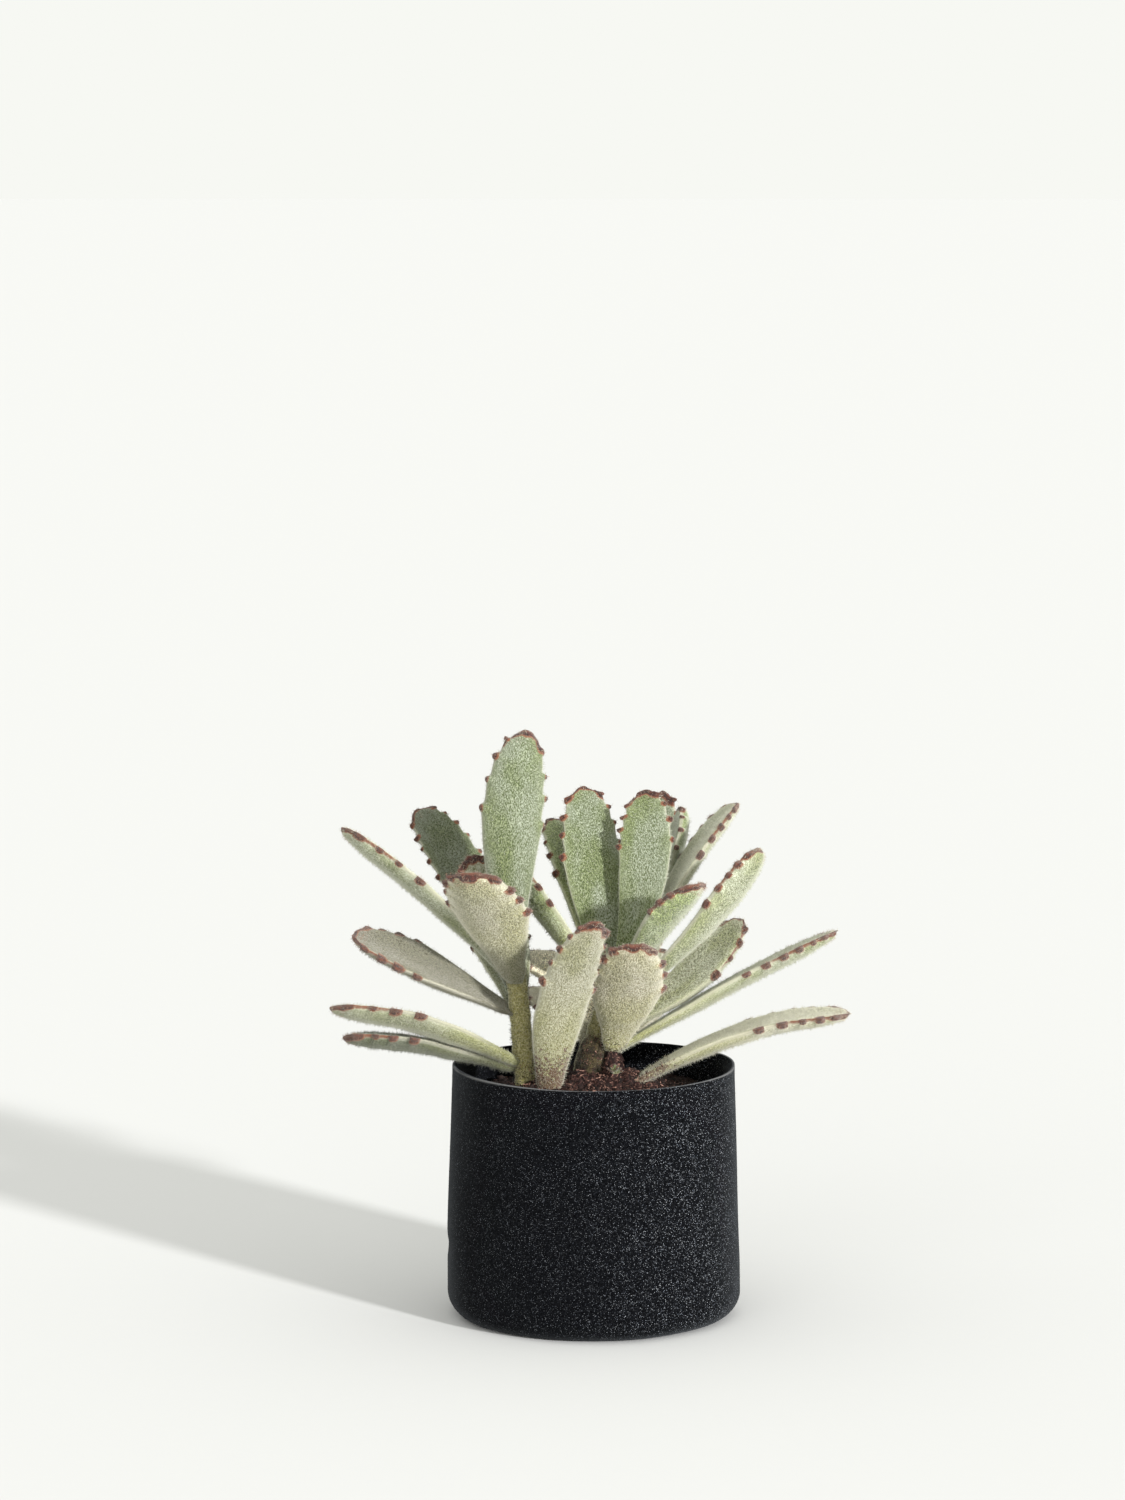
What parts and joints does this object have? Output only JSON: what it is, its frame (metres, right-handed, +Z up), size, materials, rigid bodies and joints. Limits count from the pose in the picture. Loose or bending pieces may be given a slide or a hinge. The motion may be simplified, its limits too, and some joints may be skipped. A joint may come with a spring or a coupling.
{
  "type": "potted panda plant",
  "caption": "Small potted succulent with thick fuzzy grey-green leaves, brown-toothed at the tips, on short stems in dark potting soil, in a round black felt pot.",
  "frame": {"origin": "centre of the pot's flat underside", "axes": "+Z up, -Y towards the plant's front, +X to its right"},
  "size_m": [0.1172, 0.0809, 0.1346],
  "materials": {
    "felt": "pressed black wool felt, matt, with short lighter fibres",
    "soil": "coarse crumbly potting soil",
    "stem": "green-brown, speckled and slightly downy",
    "leaf": "dense whitish velvet over grey-green flesh, dark brown teeth"
  },
  "bodies": {
    "root": {"felt_pot": "felt", "potting_soil": "soil", "back_stem": "stem", "left_stem": "stem", "middle_stem": "stem", "back_leaf_01": "leaf", "back_leaf_02": "leaf", "back_leaf_03": "leaf", "back_leaf_04": "leaf", "back_leaf_05": "leaf", "back_leaf_06": "leaf", "back_leaf_07": "leaf", "left_leaf_01": "leaf", "left_leaf_02": "leaf", "left_leaf_03": "leaf", "left_leaf_04": "leaf", "left_leaf_05": "leaf", "left_leaf_06": "leaf", "left_leaf_07": "leaf", "left_leaf_08": "leaf", "left_leaf_09": "leaf", "left_leaf_10": "leaf", "left_leaf_11": "leaf", "middle_leaf_01": "leaf", "middle_leaf_02": "leaf", "middle_leaf_03": "leaf", "middle_leaf_04": "leaf", "middle_leaf_05": "leaf", "middle_leaf_06": "leaf", "middle_leaf_07": "leaf", "middle_leaf_08": "leaf", "middle_leaf_09": "leaf", "middle_leaf_10": "leaf", "middle_leaf_11": "leaf", "middle_leaf_12": "leaf", "middle_leaf_13": "leaf"}
  },
  "joints": []
}
